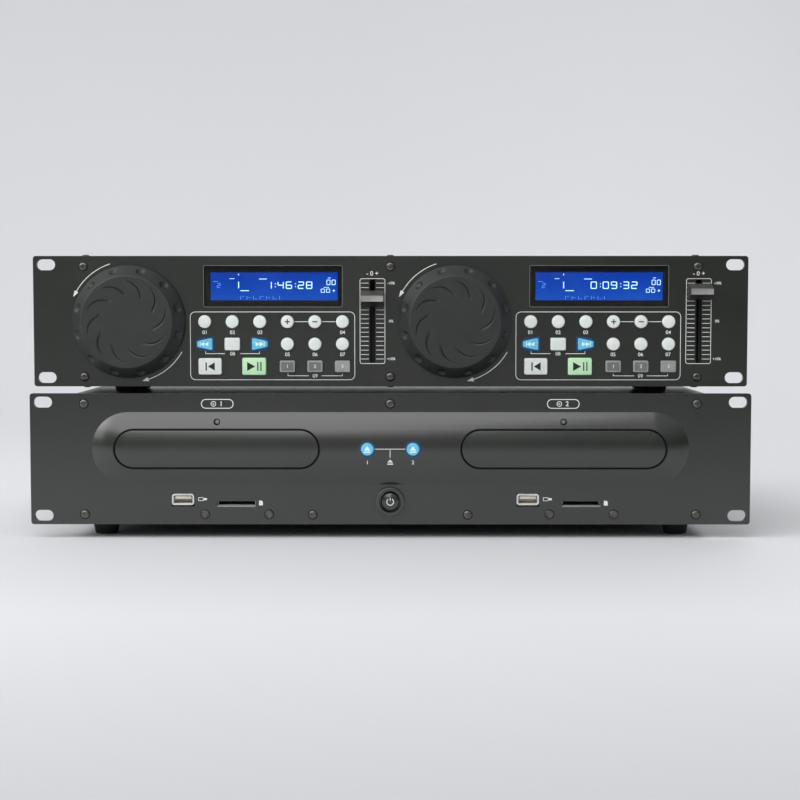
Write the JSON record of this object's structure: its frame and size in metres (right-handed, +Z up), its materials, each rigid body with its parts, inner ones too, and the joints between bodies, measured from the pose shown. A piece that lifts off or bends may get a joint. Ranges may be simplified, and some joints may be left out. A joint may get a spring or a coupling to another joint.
{
  "type": "dual disc player with separate controller",
  "caption": "Two rack units for DJ use: a disc transport with two motor trays, and a controller with jog wheels, displays, keys and pitch faders standing on it.",
  "frame": {"origin": "middle of the underside of the whole object's box, at the level the feet stand on", "axes": "+X to the right as the user faces the panels, +Y from the panels to the back, +Z up"},
  "size_m": [0.4826, 0.2704, 0.1907],
  "materials": {
    "panel": "satin dark grey paint",
    "sheet": "fine textured black paint on folded sheet steel",
    "boards": "circuit boards with their parts and sockets",
    "loader": "black moulded frame with steel rods and motors",
    "foot": "matt black rubber",
    "screw": "black oxide steel",
    "display": "blue lit display behind a clear window",
    "collar": "satin black plastic",
    "tray": "dark grey moulded plastic",
    "jog": "soft touch dark grey plastic",
    "fader": "silver painted plastic",
    "hub": "black plastic with a rubber ring",
    "sled": "grey plastic with a clear lens",
    "blue_key": "translucent light blue plastic, lit",
    "green_key": "translucent light green plastic, lit",
    "grey_key": "grey translucent plastic",
    "white_key": "white plastic"
  },
  "bodies": {
    "transport_unit": {"main_panel": "panel", "main_chassis": "sheet", "main_cover": "sheet", "main_boards": "boards", "loader_frames": "loader", "main_feet": "foot", "main_screws": "screw"},
    "control_unit": {"controller_panel": "panel", "controller_housing": "sheet", "display_modules": "display", "control_boards": "boards", "controller_feet": "foot", "controller_screws": "screw"},
    "left_disc_tray": {"left_disc_tray": "tray"},
    "right_disc_tray": {"right_disc_tray": "tray"},
    "left_jog_wheel": {"left_jog_wheel": "jog"},
    "right_jog_wheel": {"right_jog_wheel": "jog"},
    "left_pitch_fader": {"left_pitch_fader": "fader"},
    "right_pitch_fader": {"right_pitch_fader": "fader"},
    "power_button": {"power_button": "collar"},
    "left_eject_button": {"left_eject_button": "blue_key"},
    "right_eject_button": {"right_eject_button": "blue_key"},
    "left_turntable": {"left_turntable": "hub"},
    "right_turntable": {"right_turntable": "hub"},
    "left_laser_sled": {"left_laser_sled": "sled"},
    "right_laser_sled": {"right_laser_sled": "sled"},
    "left_source_button": {"left_source_button": "white_key"},
    "left_mode_button": {"left_mode_button": "white_key"},
    "left_single_button": {"left_single_button": "white_key"},
    "left_plus_button": {"left_plus_button": "white_key"},
    "left_minus_button": {"left_minus_button": "white_key"},
    "left_pitch_button": {"left_pitch_button": "white_key"},
    "left_skip_back_button": {"left_skip_back_button": "blue_key"},
    "left_folder_button": {"left_folder_button": "white_key"},
    "left_skip_forward_button": {"left_skip_forward_button": "blue_key"},
    "left_reverse_button": {"left_reverse_button": "white_key"},
    "left_tap_button": {"left_tap_button": "white_key"},
    "left_time_button": {"left_time_button": "white_key"},
    "left_cue_button": {"left_cue_button": "white_key"},
    "left_play_button": {"left_play_button": "green_key"},
    "left_loop_in_button": {"left_loop_in_button": "grey_key"},
    "left_loop_out_button": {"left_loop_out_button": "grey_key"},
    "left_reloop_button": {"left_reloop_button": "grey_key"},
    "right_source_button": {"right_source_button": "white_key"},
    "right_mode_button": {"right_mode_button": "white_key"},
    "right_single_button": {"right_single_button": "white_key"},
    "right_plus_button": {"right_plus_button": "white_key"},
    "right_minus_button": {"right_minus_button": "white_key"},
    "right_pitch_button": {"right_pitch_button": "white_key"},
    "right_skip_back_button": {"right_skip_back_button": "blue_key"},
    "right_folder_button": {"right_folder_button": "white_key"},
    "right_skip_forward_button": {"right_skip_forward_button": "blue_key"},
    "right_reverse_button": {"right_reverse_button": "white_key"},
    "right_tap_button": {"right_tap_button": "white_key"},
    "right_time_button": {"right_time_button": "white_key"},
    "right_cue_button": {"right_cue_button": "white_key"},
    "right_play_button": {"right_play_button": "green_key"},
    "right_loop_in_button": {"right_loop_in_button": "grey_key"},
    "right_loop_out_button": {"right_loop_out_button": "grey_key"},
    "right_reloop_button": {"right_reloop_button": "grey_key"}
  },
  "joints": [
    {"name": "control_unit_lift", "type": "slide", "parent": "transport_unit", "child": "control_unit", "axis": [0, 0, 1], "range_m": [0, 0.1]},
    {"name": "left_tray_slide", "type": "slide", "parent": "transport_unit", "child": "left_disc_tray", "axis": [0, -1, 0], "range_m": [0, 0.139]},
    {"name": "right_tray_slide", "type": "slide", "parent": "transport_unit", "child": "right_disc_tray", "axis": [0, -1, 0], "range_m": [0, 0.139]},
    {"name": "left_jog_turn", "type": "hinge", "parent": "control_unit", "child": "left_jog_wheel", "pos_m": [-0.1766, -0.11295, 0.1452], "axis": [0, -1, 0], "continuous": true},
    {"name": "right_jog_turn", "type": "hinge", "parent": "control_unit", "child": "right_jog_wheel", "pos_m": [0.0436, -0.11295, 0.1452], "axis": [0, -1, 0], "continuous": true},
    {"name": "left_pitch_slide", "type": "slide", "parent": "control_unit", "child": "left_pitch_fader", "axis": [0, 0, 1], "range_m": [-0.0407, 0.0105]},
    {"name": "right_pitch_slide", "type": "slide", "parent": "control_unit", "child": "right_pitch_fader", "axis": [0, 0, 1], "range_m": [-0.0454, 0.0058]},
    {"name": "power_press", "type": "slide", "parent": "transport_unit", "child": "power_button", "axis": [0, 1, 0], "range_m": [0, 0.0025], "stiffness_N_per_m": 600},
    {"name": "left_eject_press", "type": "slide", "parent": "transport_unit", "child": "left_eject_button", "axis": [0, 1, 0], "range_m": [0, 0.001], "stiffness_N_per_m": 800},
    {"name": "right_eject_press", "type": "slide", "parent": "transport_unit", "child": "right_eject_button", "axis": [0, 1, 0], "range_m": [0, 0.001], "stiffness_N_per_m": 800},
    {"name": "left_turntable_spin", "type": "hinge", "parent": "transport_unit", "child": "left_turntable", "pos_m": [-0.1157, -0.05685, 0.061], "axis": [0, 0, 1], "continuous": true},
    {"name": "right_turntable_spin", "type": "hinge", "parent": "transport_unit", "child": "right_turntable", "pos_m": [0.1157, -0.05685, 0.061], "axis": [0, 0, 1], "continuous": true},
    {"name": "left_sled_slide", "type": "slide", "parent": "transport_unit", "child": "left_laser_sled", "axis": [0, 1, 0], "range_m": [0, 0.034]},
    {"name": "right_sled_slide", "type": "slide", "parent": "transport_unit", "child": "right_laser_sled", "axis": [0, 1, 0], "range_m": [0, 0.034]},
    {"name": "left_source_press", "type": "slide", "parent": "control_unit", "child": "left_source_button", "axis": [0, 1, 0], "range_m": [0, 0.001], "stiffness_N_per_m": 800},
    {"name": "left_mode_press", "type": "slide", "parent": "control_unit", "child": "left_mode_button", "axis": [0, 1, 0], "range_m": [0, 0.001], "stiffness_N_per_m": 800},
    {"name": "left_single_press", "type": "slide", "parent": "control_unit", "child": "left_single_button", "axis": [0, 1, 0], "range_m": [0, 0.001], "stiffness_N_per_m": 800},
    {"name": "left_plus_press", "type": "slide", "parent": "control_unit", "child": "left_plus_button", "axis": [0, 1, 0], "range_m": [0, 0.001], "stiffness_N_per_m": 800},
    {"name": "left_minus_press", "type": "slide", "parent": "control_unit", "child": "left_minus_button", "axis": [0, 1, 0], "range_m": [0, 0.001], "stiffness_N_per_m": 800},
    {"name": "left_pitch_press", "type": "slide", "parent": "control_unit", "child": "left_pitch_button", "axis": [0, 1, 0], "range_m": [0, 0.001], "stiffness_N_per_m": 800},
    {"name": "left_skip_back_press", "type": "slide", "parent": "control_unit", "child": "left_skip_back_button", "axis": [0, 1, 0], "range_m": [0, 0.001], "stiffness_N_per_m": 800},
    {"name": "left_folder_press", "type": "slide", "parent": "control_unit", "child": "left_folder_button", "axis": [0, 1, 0], "range_m": [0, 0.001], "stiffness_N_per_m": 800},
    {"name": "left_skip_forward_press", "type": "slide", "parent": "control_unit", "child": "left_skip_forward_button", "axis": [0, 1, 0], "range_m": [0, 0.001], "stiffness_N_per_m": 800},
    {"name": "left_reverse_press", "type": "slide", "parent": "control_unit", "child": "left_reverse_button", "axis": [0, 1, 0], "range_m": [0, 0.001], "stiffness_N_per_m": 800},
    {"name": "left_tap_press", "type": "slide", "parent": "control_unit", "child": "left_tap_button", "axis": [0, 1, 0], "range_m": [0, 0.001], "stiffness_N_per_m": 800},
    {"name": "left_time_press", "type": "slide", "parent": "control_unit", "child": "left_time_button", "axis": [0, 1, 0], "range_m": [0, 0.001], "stiffness_N_per_m": 800},
    {"name": "left_cue_press", "type": "slide", "parent": "control_unit", "child": "left_cue_button", "axis": [0, 1, 0], "range_m": [0, 0.001], "stiffness_N_per_m": 800},
    {"name": "left_play_press", "type": "slide", "parent": "control_unit", "child": "left_play_button", "axis": [0, 1, 0], "range_m": [0, 0.001], "stiffness_N_per_m": 800},
    {"name": "left_loop_in_press", "type": "slide", "parent": "control_unit", "child": "left_loop_in_button", "axis": [0, 1, 0], "range_m": [0, 0.001], "stiffness_N_per_m": 800},
    {"name": "left_loop_out_press", "type": "slide", "parent": "control_unit", "child": "left_loop_out_button", "axis": [0, 1, 0], "range_m": [0, 0.001], "stiffness_N_per_m": 800},
    {"name": "left_reloop_press", "type": "slide", "parent": "control_unit", "child": "left_reloop_button", "axis": [0, 1, 0], "range_m": [0, 0.001], "stiffness_N_per_m": 800},
    {"name": "right_source_press", "type": "slide", "parent": "control_unit", "child": "right_source_button", "axis": [0, 1, 0], "range_m": [0, 0.001], "stiffness_N_per_m": 800},
    {"name": "right_mode_press", "type": "slide", "parent": "control_unit", "child": "right_mode_button", "axis": [0, 1, 0], "range_m": [0, 0.001], "stiffness_N_per_m": 800},
    {"name": "right_single_press", "type": "slide", "parent": "control_unit", "child": "right_single_button", "axis": [0, 1, 0], "range_m": [0, 0.001], "stiffness_N_per_m": 800},
    {"name": "right_plus_press", "type": "slide", "parent": "control_unit", "child": "right_plus_button", "axis": [0, 1, 0], "range_m": [0, 0.001], "stiffness_N_per_m": 800},
    {"name": "right_minus_press", "type": "slide", "parent": "control_unit", "child": "right_minus_button", "axis": [0, 1, 0], "range_m": [0, 0.001], "stiffness_N_per_m": 800},
    {"name": "right_pitch_press", "type": "slide", "parent": "control_unit", "child": "right_pitch_button", "axis": [0, 1, 0], "range_m": [0, 0.001], "stiffness_N_per_m": 800},
    {"name": "right_skip_back_press", "type": "slide", "parent": "control_unit", "child": "right_skip_back_button", "axis": [0, 1, 0], "range_m": [0, 0.001], "stiffness_N_per_m": 800},
    {"name": "right_folder_press", "type": "slide", "parent": "control_unit", "child": "right_folder_button", "axis": [0, 1, 0], "range_m": [0, 0.001], "stiffness_N_per_m": 800},
    {"name": "right_skip_forward_press", "type": "slide", "parent": "control_unit", "child": "right_skip_forward_button", "axis": [0, 1, 0], "range_m": [0, 0.001], "stiffness_N_per_m": 800},
    {"name": "right_reverse_press", "type": "slide", "parent": "control_unit", "child": "right_reverse_button", "axis": [0, 1, 0], "range_m": [0, 0.001], "stiffness_N_per_m": 800},
    {"name": "right_tap_press", "type": "slide", "parent": "control_unit", "child": "right_tap_button", "axis": [0, 1, 0], "range_m": [0, 0.001], "stiffness_N_per_m": 800},
    {"name": "right_time_press", "type": "slide", "parent": "control_unit", "child": "right_time_button", "axis": [0, 1, 0], "range_m": [0, 0.001], "stiffness_N_per_m": 800},
    {"name": "right_cue_press", "type": "slide", "parent": "control_unit", "child": "right_cue_button", "axis": [0, 1, 0], "range_m": [0, 0.001], "stiffness_N_per_m": 800},
    {"name": "right_play_press", "type": "slide", "parent": "control_unit", "child": "right_play_button", "axis": [0, 1, 0], "range_m": [0, 0.001], "stiffness_N_per_m": 800},
    {"name": "right_loop_in_press", "type": "slide", "parent": "control_unit", "child": "right_loop_in_button", "axis": [0, 1, 0], "range_m": [0, 0.001], "stiffness_N_per_m": 800},
    {"name": "right_loop_out_press", "type": "slide", "parent": "control_unit", "child": "right_loop_out_button", "axis": [0, 1, 0], "range_m": [0, 0.001], "stiffness_N_per_m": 800},
    {"name": "right_reloop_press", "type": "slide", "parent": "control_unit", "child": "right_reloop_button", "axis": [0, 1, 0], "range_m": [0, 0.001], "stiffness_N_per_m": 800}
  ]
}
